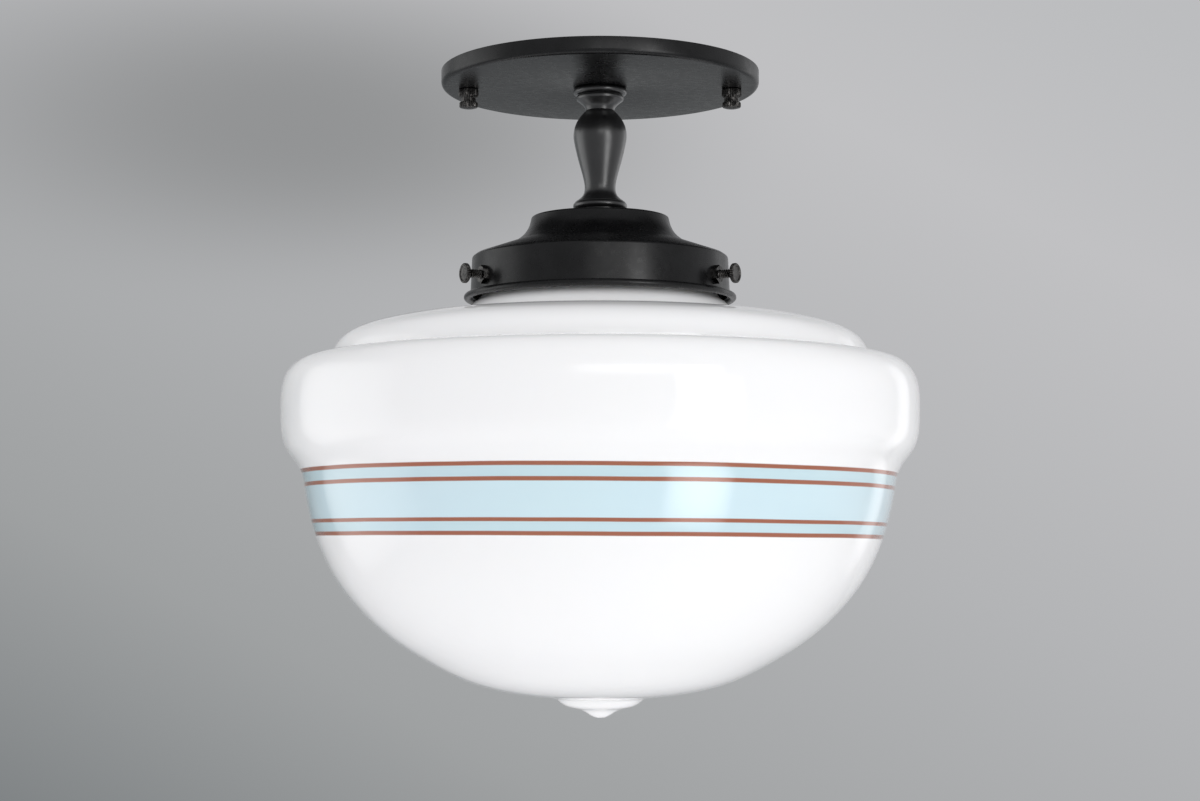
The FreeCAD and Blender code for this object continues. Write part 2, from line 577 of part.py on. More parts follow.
# ================================================================ bulb
BULB_TOP = SOCKET_FLOOR - CONTACT_DROP
BULB_SHELL_TOP = BULB_TOP - BULB_TIP_HEIGHT - BULB_INSULATOR_HEIGHT
BULB_SHELL_END = BULB_SHELL_TOP - BULB_BASE_LENGTH


def bulb_tip():
    """Centre contact of the bulb and the insulator round it."""
    neck = BULB_TOP - BULB_TIP_HEIGHT
    wide = BULB_BASE_RADIUS - 2 * LAMP_THREAD_DEPTH
    return turned((0, BULB_TOP), (BULB_TIP_RADIUS - BULB_TIP_HEIGHT, BULB_TOP),
                  corner((BULB_TIP_RADIUS - BULB_TIP_HEIGHT, neck), BULB_TIP_HEIGHT, 90, 0), (wide / 2, neck),
                  (wide - BULB_WALL, BULB_SHELL_TOP), (0, BULB_SHELL_TOP))


def bulb_base():
    """Threaded metal base, closed above, that grips the collar of the glass."""
    radius, sheet = BULB_BASE_RADIUS, SHELL_SHEET
    middle = radius - LAMP_THREAD_DEPTH / 2
    high, low = BULB_SHELL_TOP - 2 * sheet, BULB_SHELL_END + 2 * BULB_COLLAR
    wave = round_thread(radius, LAMP_THREAD_DEPTH, LAMP_PITCH, low, high)
    return turned((0, BULB_SHELL_TOP), (middle - 2 * sheet, BULB_SHELL_TOP), (middle, high), *wave,
                  (middle, BULB_SHELL_END), (BULB_OUTLINE[0][0] + THREAD_GAP, BULB_SHELL_END),
                  (BULB_OUTLINE[0][0] + THREAD_GAP, low), (middle - 2 * LAMP_THREAD_DEPTH, low + BULB_COLLAR),
                  (middle - 2 * LAMP_THREAD_DEPTH, high - sheet), (0, high - sheet))


def bulb_glass():
    """Frosted envelope, hollow, its collar held in the base."""
    outer = below(BULB_SHELL_END, BULB_OUTLINE)
    inner = inset(outer[:-1], BULB_WALL)[::-1]
    bottom = outer[-1][1] + BULB_WALL
    collar = BULB_SHELL_END + BULB_COLLAR
    return turned((outer[0][0] - BULB_WALL, collar), (outer[0][0], collar), outer[0], outer, (0, bottom),
                  [(0, bottom)] + inner)


# ================================================================ glass shade
def glass_shade():
    """Blown shade: rolled lip, neck, low dome, round shoulder, bowl and a small drop at the bottom."""
    top, low = GLASS_TOP, GLASS_TOP - LIP_HEIGHT
    bore, lip, bend = NECK_RADIUS - GLASS_WALL, NECK_RADIUS + LIP_PROJECTION, LIP_ROUND
    dome, body = (below(top, [(NECK_RADIUS + past, depth) for past, depth in part])
                  for part in (GLASS_DOME, GLASS_BODY))
    finial = below(top, GLASS_FINIAL)
    inner = inset(dome + body[1:], GLASS_WALL)
    bottom = (0, inner[-1][1] - GLASS_WALL / 3)
    return turned((bore, top - bend), corner((bore + bend, top - bend), bend, 180, 90), (lip - bend, top),
                  corner((lip - bend, top - bend), bend, 90, 0), (lip, low + bend),
                  corner((lip - bend, low + bend), bend, 0, -90), (NECK_RADIUS, low), dome[0], dome,
                  body + finial[:1], finial, bottom, [bottom] + inner[::-1])


# ================================================================ cap nuts
def cap_nut(side):
    """Blind nut turned with a knurled collar, a waist and a domed, knurled knob."""
    top = CANOPY_FACE
    collar_low = top - CAP_NUT_COLLAR
    knob_top = collar_low - CAP_NUT_WAIST
    knob_low = knob_top - CAP_NUT_KNOB
    collar, waist, knob = CAP_NUT_RADIUS, CAP_NUT_WAIST_RADIUS, CAP_NUT_KNOB_RADIUS
    blank = turned((0, top), (collar - KNURL_DEPTH, top), (collar, top - KNURL_DEPTH),
                   (collar, collar_low + KNURL_DEPTH), (collar - KNURL_DEPTH, collar_low),
                   (waist, collar_low - CAP_NUT_WAIST / 3), (waist, knob_top),
                   (knob - KNURL_DEPTH, knob_top), (knob, knob_top - KNURL_DEPTH),
                   (knob, knob_low + KNURL_DEPTH), (knob - KNURL_DEPTH, knob_low),
                   ((knob / 2, knob_low - 0.75 * CAP_NUT_DOME), (0, knob_low - CAP_NUT_DOME)))
    end = knob_low - CAP_NUT_DOME
    knurls = (prism(star(collar, KNURL_DEPTH, CAP_NUT_TEETH), collar_low, top)
              .fuse(prism(star(knob, KNURL_DEPTH, CAP_NUT_TEETH), end, knob_top))
              .fuse(disc(waist, knob_top, collar_low))
              .fuse(disc(collar - KNURL_DEPTH, collar_low - CAP_NUT_WAIST / 3, collar_low)))
    bore = disc(STUD_DIAMETER / 2 + THREAD_GAP, -STUD_LENGTH - END_GAP, top)
    return moved(blank.common(knurls).cut(bore), side * STUD_SPACING / 2)


# ================================================================ the pieces
pieces = {
    "crossbar": crossbar(), "canopy_studs": canopy_studs(), "stud_lock_nuts": stud_lock_nuts(),
    "earth_screw": earth_screw(), "canopy": canopy(), "upper_nipple": upper_nipple(),
    "upper_lock_washer": lock_washer(CANOPY_FLOOR), "upper_lock_nut": lock_nut(UPPER_NUT_LOW),
    "check_ring": check_ring(), "stem": stem(), "lower_nipple": lower_nipple(),
    "shade_holder": shade_holder(), "lower_lock_washer": lock_washer(PLATE_UNDERSIDE - WASHER_THICKNESS),
    "lower_lock_nut": lock_nut(LOWER_NUT_LOW), "screw_nuts": screw_nuts(), "socket_cap": socket_cap(),
    "socket_body": socket_body(), "socket_screws": socket_screws(), "screw_shell": screw_shell(),
    "centre_contact": centre_contact(), "glass_shade": glass_shade(), "cap_nut_left": cap_nut(-1),
    "cap_nut_right": cap_nut(1), "bulb_tip": bulb_tip(), "bulb_base": bulb_base(), "bulb_glass": bulb_glass(),
}
for name, angle in zip(SCREW_NAMES, SCREW_ANGLES):
    pieces["thumb_screw_shank_" + name] = screw_shank(angle)
    pieces["thumb_screw_head_" + name] = screw_head(angle)

os.makedirs("parts", exist_ok=True)
for name, shape in pieces.items():
    shape.exportStep("parts/" + name + ".step")
    box = shape.BoundBox
    print("%-26s solids %d valid %s volume %9.1f  x %7.2f %7.2f  y %7.2f %7.2f  z %8.2f %8.2f"
          % (name, len(shape.Solids), shape.isValid(), shape.Volume, box.XMin, box.XMax, box.YMin, box.YMax,
             box.ZMin, box.ZMax))
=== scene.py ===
# %% [markdown]
# # A semi flush ceiling light with a banded opal glass shade
# The light hangs from a bracket hidden in a shallow canopy. A turned stem carries a spun holder,
# and three thumb screws pinch the lip of a blown glass shade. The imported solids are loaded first:
# they carry the joints and the sizes. Every visible surface is then made again as a smooth mesh,
# or keeps its solid and gets a finish. Lengths are millimetres until a mesh is made, and metres
# for the camera, the lamps and the floor.

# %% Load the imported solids
import bpy
import numpy as np
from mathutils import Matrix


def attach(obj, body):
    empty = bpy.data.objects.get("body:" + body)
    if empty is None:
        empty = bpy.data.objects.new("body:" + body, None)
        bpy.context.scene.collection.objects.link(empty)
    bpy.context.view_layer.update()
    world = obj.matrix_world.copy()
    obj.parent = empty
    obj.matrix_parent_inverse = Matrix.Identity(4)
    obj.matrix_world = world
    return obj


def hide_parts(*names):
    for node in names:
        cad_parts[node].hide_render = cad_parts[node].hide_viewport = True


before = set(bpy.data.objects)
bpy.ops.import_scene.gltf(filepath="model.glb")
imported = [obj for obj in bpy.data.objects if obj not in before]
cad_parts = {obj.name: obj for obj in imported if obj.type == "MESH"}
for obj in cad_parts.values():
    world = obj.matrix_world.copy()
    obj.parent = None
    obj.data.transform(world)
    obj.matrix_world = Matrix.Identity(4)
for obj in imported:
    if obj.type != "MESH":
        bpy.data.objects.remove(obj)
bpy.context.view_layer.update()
MM = 0.001

# %% [markdown]
# ## Profiles
# Nearly everything here was turned, spun or blown on an axis, so each piece starts as half of its
# cross-section: a list of (radius, height) pairs. Straight lines, arcs and smooth curves could be
# drawn with curve objects, but plain arrays keep every size readable and can be checked by eye.


# %% Curves for the profiles
def smooth(points, spacing=0.8):
    """Natural cubic spline: each span is a cubic in chord length whose slope and bend run on into
    the next span, with no bend at the two ends."""
    points = np.array(points, float)
    chord = np.hypot(*np.diff(points, axis=0).T)
    knots = np.concatenate([[0], np.cumsum(chord)])
    count = len(points)
    matrix, right = np.eye(count), np.zeros((count, 2))
    inner = np.arange(1, count - 1)
    matrix[inner, inner - 1] = chord[:-1]
    matrix[inner, inner] = 2 * (chord[:-1] + chord[1:])
    matrix[inner, inner + 1] = chord[1:]
    slope = np.diff(points, axis=0) / chord[:, None]
    right[inner] = 6 * np.diff(slope, axis=0)
    bend = np.linalg.solve(matrix, right)
    along = np.linspace(0, knots[-1], max(int(knots[-1] / spacing), 4 * count) + 1)
    span = np.clip(np.searchsorted(knots, along, "right") - 1, 0, count - 2)
    h, a, b = chord[span, None], (knots[span + 1] - along)[:, None], (along - knots[span])[:, None]
    return ((bend[span] * a ** 3 + bend[span + 1] * b ** 3) / (6 * h)
            + (points[span] / h - bend[span] * h / 6) * a
            + (points[span + 1] / h - bend[span + 1] * h / 6) * b)


def arc(centre, radius, first, last, count=9):
    """Points at equal angles round a centre, from the first angle to the last in degrees."""
    angle = np.radians(np.linspace(first, last, count))
    return np.array(centre) + radius * np.stack([np.cos(angle), np.sin(angle)], 1)


def below(top, points):
    """(radius, depth) pairs turned into (radius, height) pairs under a height."""
    points = np.array(points, float)
    return np.stack([points[:, 0], top - points[:, 1]], 1)


def profile(*parts):
    """Points and runs of points joined into one list, without doubled points."""
    points = np.concatenate([np.atleast_2d(np.array(part, float)) for part in parts])
    step = np.hypot(*np.diff(points, axis=0).T)
    return points[np.concatenate([[True], step > 1e-4])]


def broken_edges(points, radius=0.25, closed=True, turn=25.0):
    """Every corner sharper than turn degrees becomes a small rounding: the corner is replaced by
    five points of the parabola from a point before it to a point after it. These two lie a radius
    away, or 0.45 of the way to the neighbour where that is nearer."""
    before, after = np.roll(points, 1, 0) - points, np.roll(points, -1, 0) - points
    reach = [np.maximum(np.hypot(*side.T), 1e-9)[:, None] for side in (before, after)]
    ways = before / reach[0], after / reach[1]
    angle = np.degrees(np.arccos(np.clip(-(ways[0] * ways[1]).sum(1), -1, 1)))
    corner = angle > turn
    if not closed:
        corner[[0, -1]] = False
    start, end = (points + way * np.minimum(radius, 0.45 * far) for way, far in zip(ways, reach))
    t = np.linspace(0, 1, 5)[None, :, None]
    parabola = (1 - t) ** 2 * start[:, None] + 2 * t * (1 - t) * points[:, None]
    parabola += t ** 2 * end[:, None]
    plain = np.repeat(points[:, None], 5, 1)
    keep = np.zeros((len(points), 5), bool)
    keep[:, 0] = True
    keep[corner] = True
    return np.where(corner[:, None, None], parabola, plain)[keep]


# %% [markdown]
# ## From a profile to a mesh
# A turned piece is the profile carried round the axis. Blender's Screw modifier could do it, but
# a grid worked out with numpy also takes knurls and threads, which are only small changes of the
# radius with angle and height. The same grid serves every piece, so each one is a few lines long.


# %% Mesh makers
# An edge over this many degrees stays crisp. The steps go once round a small or a large piece.
SHARP_ANGLE, STEPS, FINE_STEPS = 35.0, 192, 256


def mesh_piece(name, points, faces, sharp=SHARP_ANGLE):
    """A mesh object of the given points in millimetres, smooth but for edges over the sharp angle
    in degrees. Six times the volume that the faces enclose is the sum of a . (b x c) over all
    triangles a b c, and faces that give a negative sum are turned over."""
    volume = 0.0
    for half in (faces[:, :3], faces[:, [0, 2, 3]]):
        a, b, c = points[half].transpose(1, 0, 2)
        volume += np.einsum("ij,ij->", a, np.cross(b, c))
    if volume < 0:
        faces = faces[:, ::-1]
    # A triangle at a pole names one corner twice, and only the first mention is kept.
    lists = [list(dict.fromkeys(face)) for face in faces.tolist()]
    mesh = bpy.data.meshes.new(name)
    mesh.from_pydata((points * MM).tolist(), [], lists)
    mesh.update()
    mesh.shade_smooth()
    mesh.set_sharp_from_angle(angle=np.radians(sharp))
    piece = bpy.data.objects.new(name, mesh)
    bpy.context.scene.collection.objects.link(piece)
    print("%-28s %6d faces" % (name, len(lists)))
    return piece


def turned(name, points, steps=STEPS, relief=None, place=(0, 0, 0), lean=None, sharp=SHARP_ANGLE):
    """Surface of revolution: at angle a and profile point (r, z) the surface lies at
    (r cos a, r sin a, z), with relief(a, r, z) added to r. A profile that begins and ends on the
    axis gets a pole at each end, and any other profile is a closed loop round the solid's wall."""
    ends = points[0, 0] < 1e-6 and points[-1, 0] < 1e-6
    body = points[1:-1] if ends else points
    angle = np.linspace(0, 2 * np.pi, steps, endpoint=False)[None, :]
    r, z = body[:, :1], body[:, 1:]
    radius = r + (relief(angle, r, z) if relief else 0 * angle)
    grid = np.stack([radius * np.cos(angle), radius * np.sin(angle), z + 0 * radius], -1)
    rows = len(body)
    number = np.arange(rows * steps).reshape(rows, steps)
    low, high = (number[:-1], number[1:]) if ends else (number, np.roll(number, -1, 0))
    faces = np.stack([low, np.roll(low, -1, 1), np.roll(high, -1, 1), high], -1).reshape(-1, 4)
    grid = grid.reshape(-1, 3)
    if ends:
        poles = np.array([[0, 0, points[0, 1]], [0, 0, points[-1, 1]]])
        first, last = rows * steps, rows * steps + 1
        near, far = number[0], number[-1]
        fans = [np.stack([np.full(steps, first), np.roll(near, -1), near, near], -1),
                np.stack([np.full(steps, last), far, np.roll(far, -1), np.roll(far, -1)], -1)]
        grid, faces = np.concatenate([grid, poles]), np.concatenate([faces] + fans)
    if lean is not None:
        grid = grid @ np.array(lean, float)
    return mesh_piece(name, grid + np.array(place, float), faces, sharp)


def outwards(angle):
    """Rotation, as the rows where X, Y and Z go: +Z lies outwards at an angle in degrees from +X,
    and +X points down."""
    a = np.radians(angle)
    return [[0, 0, -1], [-np.sin(a), np.cos(a), 0], [np.cos(a), np.sin(a), 0]]


# %% [markdown]
# ## The canopy
# The canopy is a shallow pan of spun steel, open towards the ceiling. Its lower edge is rolled to
# a 2 mm radius, which is what catches the long bright line under the rim. The holes for the two
# studs are cut with Boolean modifiers, because a turned grid has no natural place for them.


# %% Canopy
def drilled(piece, radius, places, lean=None, reach=60.0):
    """The piece with round holes cut through it: each hole is a 32 sided bar that starts at its
    place and is reach long, taken away with a Boolean modifier that is applied at once."""
    drill = profile((0, 0), (radius, 0), (radius, reach), (0, reach))
    for i, place in enumerate(places):
        cutter = turned("cutter", drill, 32, place=place, lean=lean[i] if lean else None)
        hole = piece.modifiers.new("hole", "BOOLEAN")
        hole.object, hole.solver = cutter, "EXACT"
        bpy.context.view_layer.update()
        graph = bpy.context.evaluated_depsgraph_get()
        whole = bpy.data.meshes.new_from_object(piece.evaluated_get(graph))
        piece.modifiers.clear()
        piece.data = whole
        bpy.data.objects.remove(cutter)
    piece.data.shade_smooth()
    piece.data.set_sharp_from_angle(angle=np.radians(SHARP_ANGLE))
    return piece


canopy_face, canopy_floor, canopy_radius = -6.5, -5.3, 63.5
canopy_wall, canopy_edge = 1.2, 2.0
inner_radius, inner_edge = canopy_radius - canopy_wall, canopy_edge - canopy_wall / 2
stud_x, stud_radius, pipe_radius = 52.7, 2.085, 5.145
# The room left round a rod that passes through a hole, and round one that is screwed into it.
clearance, thread_fit = 0.3, 0.05
pipe_hole, pipe_thread = pipe_radius + clearance, pipe_radius + thread_fit
pan = profile((pipe_hole, canopy_face),
              arc((canopy_radius - canopy_edge, canopy_face + canopy_edge), canopy_edge,
                  -90, 0, 13),
              (canopy_radius, 0), (inner_radius, 0),
              arc((inner_radius - inner_edge, canopy_floor + inner_edge), inner_edge, 0, -90),
              (pipe_hole, canopy_floor))
drill_start = -30
canopy = drilled(turned("canopy_pan", broken_edges(pan, 0.2), FINE_STEPS), stud_radius + clearance,
                 [(stud_x, 0, drill_start), (-stud_x, 0, drill_start)])

# %% [markdown]
# ## Ring and stem
# A ring with a full round rim covers the joint of canopy and stem. The stem itself was turned from
# bar: a lip, a cove, a vase and a bead for a foot. Its outline is the one smooth curve of the
# light, so it is a spline through a dozen measured radii, and the small lips are lines and arcs.

# %% Ring and stem
rim_radius = 1.2
ring_face = canopy_face - 2 * rim_radius
ring_points = profile((pipe_thread, ring_face),
                      arc((9.55, ring_face + rim_radius), rim_radius, -90, 90, 15),
                      (pipe_thread, canopy_face))
check_ring = turned("check_ring_turned", broken_edges(ring_points, 0.15))

plate_top, foot_top, foot_radius = -58.4, ring_face - 43.3, 1.55
wire_bore, upper_bore_end, lower_bore_end = 2.75, ring_face - 4, plate_top + 7.9
cove = smooth(below(ring_face, [(9.3, 2.1), (7.7, 3.3), (6.2, 4.9), (5.6, 6.4)]), 0.4)
vase = smooth(below(ring_face, [(5.6, 6.4), (7.8, 8.7), (9.4, 11.2), (10.65, 16.2), (10.1, 20.6),
                                (8.9, 25.7), (7.5, 30.7), (6.45, 35.0), (6.2, 38.2), (6.8, 40.4),
                                (8.3, 42.1), (10.0, 43.3)]), 0.5)
foot = arc((9.25, foot_top - foot_radius), foot_radius, 61, -61, 13)
spindle = profile((pipe_thread, ring_face), (8.9, ring_face), (9.6, ring_face - 1.2), cove, vase,
                  foot, (9.4, foot_top - 2 * foot_radius), (9.4, plate_top),
                  (pipe_thread, plate_top), (pipe_thread, lower_bore_end),
                  (wire_bore, lower_bore_end), (wire_bore, upper_bore_end),
                  (pipe_thread, upper_bore_end))
stem = turned("stem_turned", broken_edges(spindle, 0.2))

# %% [markdown]
# ## The shade holder
# The holder is one disc of sheet steel spun over a form: plate, cove, sloping shoulder, band, and
# a rim rolled outwards into a bead. The same sheet thickness runs through it, so the inner face is
# the outer one moved inwards along its own normals.


# %% Shade holder
def moved_in(points, thickness):
    """Each point moved at right angles to the line between its two neighbours, to the right of the
    way the points run: a step of (dr, dz) is turned to (dz, -dr) and made thickness long."""
    way = np.gradient(points, axis=0)
    way /= np.hypot(*way.T)[:, None]
    return points + thickness * np.stack([way[:, 1], -way[:, 0]], 1)


sheet, band_top, band_foot, bead_radius = 0.9, plate_top - 16.1, plate_top - 31.0, 1.35
outer_face = profile(arc((26.6, plate_top - sheet), sheet, 90, 0, 7),
                     smooth(below(plate_top, [(27.5, 0.9), (28.1, 3.2), (30.2, 7.0), (34.2, 10.3)]),
                            0.5),
                     (49.6, band_top + 0.47), arc((49.95, band_top - 1.0), 1.0, 75, 0, 7),
                     (51.55, band_foot))
bead = arc((52.8, band_foot - bead_radius), bead_radius, 158, -200, 41)
holder_points = profile((pipe_hole, plate_top), outer_face, bead, (50.65, band_foot - 1.1),
                        moved_in(outer_face, sheet)[::-1], (pipe_hole, plate_top - sheet))
screw_angles, screw_height = {"rear": 90, "left": 210, "right": 330}, plate_top - 26.1
screw_hole, drill_from, drill_reach = 1.8, 40, 30.0
holes = [outwards(angle) for angle in screw_angles.values()]
holder = drilled(turned("holder_spun", broken_edges(holder_points, 0.12), FINE_STEPS), screw_hole,
                 [np.array(hole[2]) * drill_from + (0, 0, screw_height) for hole in holes],
                 holes, drill_reach)

# %% [markdown]
# ## The glass shade
# The shade was blown into an iron mould: a rolled lip, a neck, a low dome, a crease, a round
# shoulder, an S curve and a bowl with a small drop where the mould ended. Blown walls are not
# quite even, so the surface sinks by up to a quarter of a millimetre in long soft waves.


# %% Glass shade
def blown(angle, r, z):
    """Two slow waves, 0.07 sin(3 angle + height / 23) and 0.05 sin(5 angle - height / 17 + 1).
    They add up to 0.12 mm at the most, and as much is taken off, so that the surface only sinks.
    The waves fade in between 36 and 96 mm from the axis."""
    fade = np.clip(r / 60 - 0.6, 0, 1)
    return fade * (0.07 * np.sin(3 * angle + z / 23) + 0.05 * np.sin(5 * angle - z / 17 + 1) - 0.12)


glass_top, neck, glass_wall, lip_radius = -76.85, 46.5, 3.0, 1.5
dome = smooth(below(glass_top, [
    (46.5, 10.2), (47.3, 13.6), (51.0, 17.0), (54.6, 20.6), (58.5, 22.3), (67.0, 22.9),
    (76.0, 23.6), (83.4, 24.4), (92.0, 26.3), (99.0, 28.8), (103.6, 32.4), (105.6, 36.4),
    (106.0, 40.2)]))
bowl = smooth(below(glass_top, [
    (106.0, 40.2), (109.0, 39.3), (113.0, 39.2), (119.0, 40.7), (123.6, 45.4), (125.6, 54.2),
    (125.6, 62.5), (124.6, 71.2), (122.4, 76.0), (119.3, 80.1), (117.2, 84.2), (115.9, 90.7),
    (113.1, 103.5), (109.4, 114.0), (103.4, 125.7), (94.3, 137.3), (81.0, 149.1), (68.7, 156.9),
    (52.9, 164.8), (36.0, 169.4), (20.0, 171.4)]), 1.2)
drop = smooth(below(glass_top, [
    (20.0, 171.4), (17.6, 172.2), (15.2, 174.0), (13.0, 175.1), (9.0, 176.1), (6.4, 177.1),
    (3.9, 178.6), (1.8, 179.5), (0.0, 179.7)]), 0.6)
lip = profile(arc((45.0, glass_top - lip_radius), lip_radius, 180, 90),
              arc((47.7, glass_top - lip_radius), lip_radius, 90, 0),
              arc((47.7, glass_top - 4.1), lip_radius, 0, -90), (neck, glass_top - 5.6))
inside = moved_in(profile(dome, bowl), glass_wall)
print("narrowest inner radius %.1f mm" % inside[:, 0].min())
inner_pole = (0, inside[-1, 1] - 0.3)
shade_points = profile(inner_pole, inside[::-1], lip, dome, bowl, drop)
shade = turned("shade_blown", shade_points, FINE_STEPS, blown, sharp=60)

# %% [markdown]
# ## Thumb screws and cap nuts
# The small hardware is machined from bar and rolled: straight knurls for the fingers, and real
# threads. A knurl is a triangle wave of the radius round the axis. A thread is the same wave on
# the height less the angle, which winds the groove into a helix of the right pitch.


# %% Knurls and threads
def triangle(turns):
    """Triangle wave between 0 and 1 with one peak at every whole turn."""
    return np.abs(2 * (turns - np.floor(turns)) - 1)


def knurled(teeth, depth, least):
    """Relief that sinks grooves of a depth into every radius over the least: the groove follows a
    triangle wave of so many teeth round the axis."""
    return lambda angle, r, z: np.where(r > least, -depth * triangle(teeth * angle / 2 / np.pi), 0)


def threaded(pitch, depth, low, high):
    """Relief that winds a V groove: the wave runs on height over pitch less angle over a full
    turn. Its ridge fades out within half a pitch of both ends, where the screw is chamfered."""
    def relief(angle, r, z):
        end = np.clip(np.minimum(z - low, high - z) / (pitch / 2), 0, 1)
        groove = triangle(z / pitch - angle / 2 / np.pi)
        return -depth * (1 - end * (1 - groove))
    return relief


def rod_profile(radius, low, high, bore, pitch):
    """Profile of a rod, or of a pipe with a bore, with eight rows of points to each pitch."""
    rows = np.linspace(low, high, int((high - low) / pitch * 8))
    side = np.stack([np.full(len(rows), radius), rows], 1)
    return profile((bore, low), side, (bore, high))


def screw_rod(name, radius, pitch, low, high, bore=0.0, place=(0, 0, 0), lean=None):
    """A threaded rod or pipe, 96 steps round, with a groove 0.6 of its pitch deep. The relief
    works on the side only, and the bore keeps its radius."""
    wind = threaded(pitch, 0.6 * pitch, low, high)
    return turned(name, rod_profile(radius, low, high, bore, pitch), 96,
                  lambda angle, r, z: np.where(r > bore + 0.01, wind(angle, r, z), 0), place, lean)


# %% Thumb screws
fine_pitch, screw_radius, screw_tip = 0.794, 1.75, neck + clearance
knurl_depth, knurl_least, knurl_sharp = 0.28, 3.5, 25
shoulder = screw_tip + 12.3
head_points = broken_edges(profile(
    (0, shoulder), (3.55, shoulder), (3.85, shoulder + 0.3), (3.85, shoulder + 1.4),
    (3.55, shoulder + 1.7), (3.0, shoulder + 1.7), (2.75, shoulder + 1.4), (0, shoulder + 1.4)),
    radius=0.08, closed=False)
screws = {}
for side, angle in screw_angles.items():
    at, lean = (0, 0, screw_height), outwards(angle)
    shank = screw_rod("thumb_screw_shank_%s_wound" % side, screw_radius, fine_pitch, screw_tip,
                      shoulder, place=at, lean=lean)
    head = turned("thumb_screw_head_%s_knurled" % side, head_points, FINE_STEPS,
                  knurled(32, knurl_depth, knurl_least), at, lean, knurl_sharp)
    screws[side] = shank, head

# %% [markdown]
# A cap nut is a blind nut. Its collar is knurled and holds the canopy, its waist is plain, and the
# small knob is knurled and domed. All of it is one profile, so one call turns the whole nut.

# %% Cap nuts
nut_bore, nut_end = stud_radius + thread_fit, -13.3
stud_places = {"left": -stud_x, "right": stud_x}
nut_side = broken_edges(profile(
    (nut_bore, canopy_face), (3.67, canopy_face), (3.95, canopy_face - 0.28),
    (3.95, canopy_face - 2.72), (3.67, canopy_face - 3.0), (2.95, -10.27), (2.95, -11.8),
    (3.42, -11.8), (3.7, -12.08), (3.7, -13.62)), radius=0.08, closed=False)
nut_points = profile((0, nut_end), (nut_bore, nut_end), nut_side,
                     (3.42, -13.9), arc((0, -4.55), 9.95, -69, -90, 9))
nuts = {side: turned("cap_nut_%s_knurled" % side, nut_points, STEPS,
                     knurled(24, knurl_depth, knurl_least), (x, 0, 0), sharp=knurl_sharp)
        for side, x in stud_places.items()}

# %% [markdown]
# ## Pipes and studs
# Two short pipe nipples and two studs hold the light together. They show from above, inside the
# canopy, so they get their helical threads as well.

# %% Pipes and studs
pipe_pitch, pipe_bore, stud_foot = 0.94, 3.3, -13.1
studs = [screw_rod("stud_%s_wound" % side, stud_radius, fine_pitch, stud_foot, 0, place=(x, 0, 0))
         for side, x in stud_places.items()]
upper_ends, lower_ends = (ring_face - 3.8, 3.0), (-70.8, plate_top + 7.7)
upper_pipe = screw_rod("upper_nipple_wound", pipe_radius, pipe_pitch, *upper_ends, pipe_bore)
lower_pipe = screw_rod("lower_nipple_wound", pipe_radius, pipe_pitch, *lower_ends, pipe_bore)

# %% [markdown]
# ## The bulb
# An ordinary frosted bulb hides in the shade. Its envelope is a thin blown shell, so the profile
# runs up the inside and back down the outside, and its pressed base has the round lamp thread.

# %% Bulb
tip_top = -81.9
base_top = tip_top - 4.3
base_end = base_top - 19.0
bulb_wall, bulb_steps = 0.8, 128
envelope = smooth(below(base_end, [
    (12.2, 0.0), (14.2, 7.5), (20.5, 22.0), (28.2, 38.0), (30.0, 50.0), (28.0, 62.0),
    (21.5, 73.0), (11.5, 79.6), (0.0, 81.6)]))
hollow = moved_in(envelope[:-1], bulb_wall)
envelope_points = profile((0, envelope[-1, 1] + bulb_wall), hollow[::-1],
                          (11.4, base_end + 1.5), (12.2, base_end + 1.5), envelope)
bulb_glass = turned("bulb_envelope", envelope_points, bulb_steps, sharp=60)

lamp_radius, lamp_pitch, lamp_depth, lamp_rows = 13.0, 3.629, 0.65, 96
base_wall = np.stack([np.full(lamp_rows, lamp_radius),
                      np.linspace(base_top - 0.8, base_end + 3.0, lamp_rows)], 1)
base_points = broken_edges(profile(
    (0, base_top), (11.9, base_top), base_wall, (12.7, base_end), (12.25, base_end),
    (12.25, base_end + 3.0), (11.4, base_end + 4.5), (11.4, base_top - 1.2), (0, base_top - 1.2)),
    radius=0.1, closed=False)


def lamp_thread(angle, r, z):
    """Round lamp thread: half its depth times 1 + cos(turns), where the turns are height over
    pitch less angle over a full turn. It leaves radii under 12.9 mm as they are."""
    return np.where(r > 12.9, -lamp_depth / 2 * (1 + np.cos(2 * np.pi * z / lamp_pitch - angle)), 0)


bulb_base = turned("bulb_base_pressed", base_points, bulb_steps, lamp_thread)

# %% [markdown]
# ## Finishes
# Every finish below is one node material, named for what the real surface is. Patterns read Object
# coordinates in metres, so a grain of 0.5 mm is a texture scale of 1 / 0.0005. Colours are written
# as they look on a screen and one function turns them into the linear values that a renderer needs.


# %% Material helpers
def linear(colour):
    """sRGB hex to linear light: each channel over 255, then the standard sRGB curve undone."""
    value = np.array([int(colour[i:i + 2], 16) for i in (1, 3, 5)]) / 255
    value = np.where(value <= 0.04045, value / 12.92, ((value + 0.055) / 1.055) ** 2.4)
    return (*value.tolist(), 1.0)


def add(tree, kind, inputs=None, **settings):
    """A new node with its settings, whose inputs are given as values or as sockets to link from."""
    node = tree.nodes.new("ShaderNode" + kind)
    for key, value in settings.items():
        setattr(node, key, value)
    for key, value in (inputs or {}).items():
        if isinstance(value, bpy.types.NodeSocket):
            tree.links.new(value, node.inputs[key])
        else:
            node.inputs[key].default_value = value
    return node


def finish(name, **values):
    """A material with a Principled shader set to the values. Returns it with its node tree, the
    shader and the Object coordinates."""
    material = bpy.data.materials.new(name)
    material.use_nodes = True
    tree = material.node_tree
    shader = tree.nodes["Principled BSDF"]
    for key, value in values.items():
        shader.inputs[key.replace("_", " ")].default_value = value
    print("finish:", name)
    return material, tree, shader, add(tree, "TexCoord").outputs["Object"]


